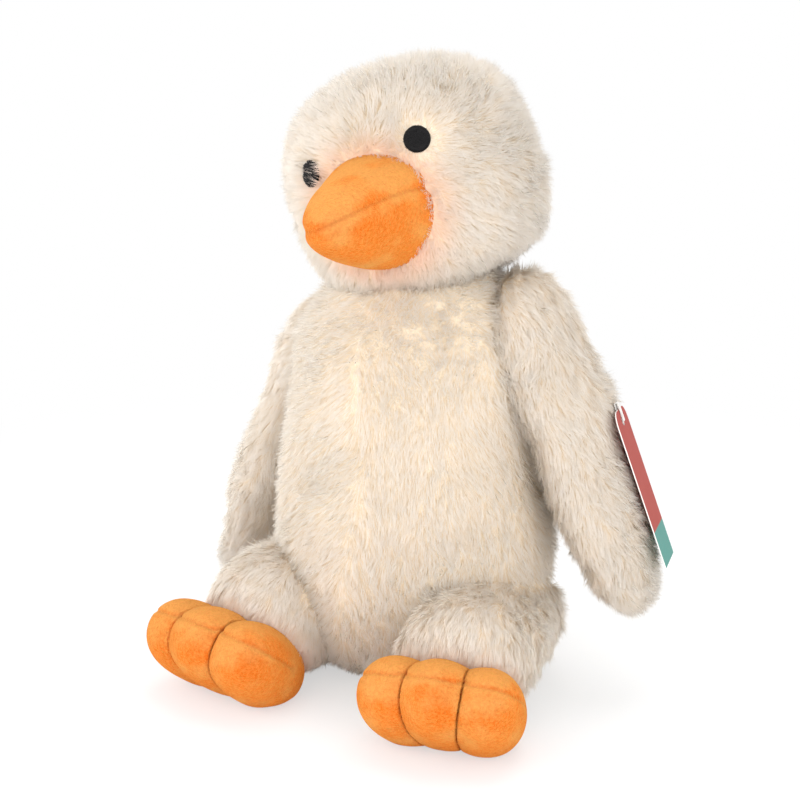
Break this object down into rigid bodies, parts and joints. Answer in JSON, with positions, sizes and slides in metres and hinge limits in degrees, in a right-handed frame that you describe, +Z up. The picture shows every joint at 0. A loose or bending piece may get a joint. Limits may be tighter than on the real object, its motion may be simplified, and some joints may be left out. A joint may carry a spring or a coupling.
{
  "type": "plush duck dog toy",
  "caption": "Sitting plush duck dog toy with long cream fur, a stuffed orange beak, stuffed toed feet, floppy wings, embroidered eyes and a swing tag on one wing.",
  "frame": {"origin": "on the floor, in the middle of the flat seat under the body", "axes": "+Z up; the duck faces -Y; its left side is +X"},
  "size_m": [0.2834, 0.2043, 0.3448],
  "materials": {
    "long_fur": "long cream pile, brushed and tufted",
    "short_plush": "short orange pile with a soft sheen",
    "fibre_fill": "loose white polyester fibre",
    "black_thread": "close black embroidery",
    "squeaker_plastic": "thin blown plastic",
    "printed_card": "plain printed card, red with a teal end",
    "ribbon": "narrow woven ribbon"
  },
  "bodies": {
    "root": {"body_base": "long_fur", "body_front_left": "long_fur", "body_front_right": "long_fur", "body_back": "long_fur", "body_stuffing": "fibre_fill", "squeaker": "squeaker_plastic", "head_left": "long_fur", "head_right": "long_fur", "head_stuffing": "fibre_fill", "eye_left": "black_thread", "eye_right": "black_thread", "beak_upper": "short_plush", "beak_lower": "short_plush", "beak_stuffing": "fibre_fill", "wing_left_outer": "long_fur", "wing_left_inner": "long_fur", "wing_left_stuffing": "fibre_fill", "wing_right_outer": "long_fur", "wing_right_inner": "long_fur", "wing_right_stuffing": "fibre_fill", "leg_left": "long_fur", "leg_left_stuffing": "fibre_fill", "leg_right": "long_fur", "leg_right_stuffing": "fibre_fill", "foot_left_top": "short_plush", "foot_left_sole": "short_plush", "foot_left_stuffing": "fibre_fill", "foot_right_top": "short_plush", "foot_right_sole": "short_plush", "foot_right_stuffing": "fibre_fill", "tag_card": "printed_card", "tag_loop": "ribbon"}
  },
  "joints": []
}
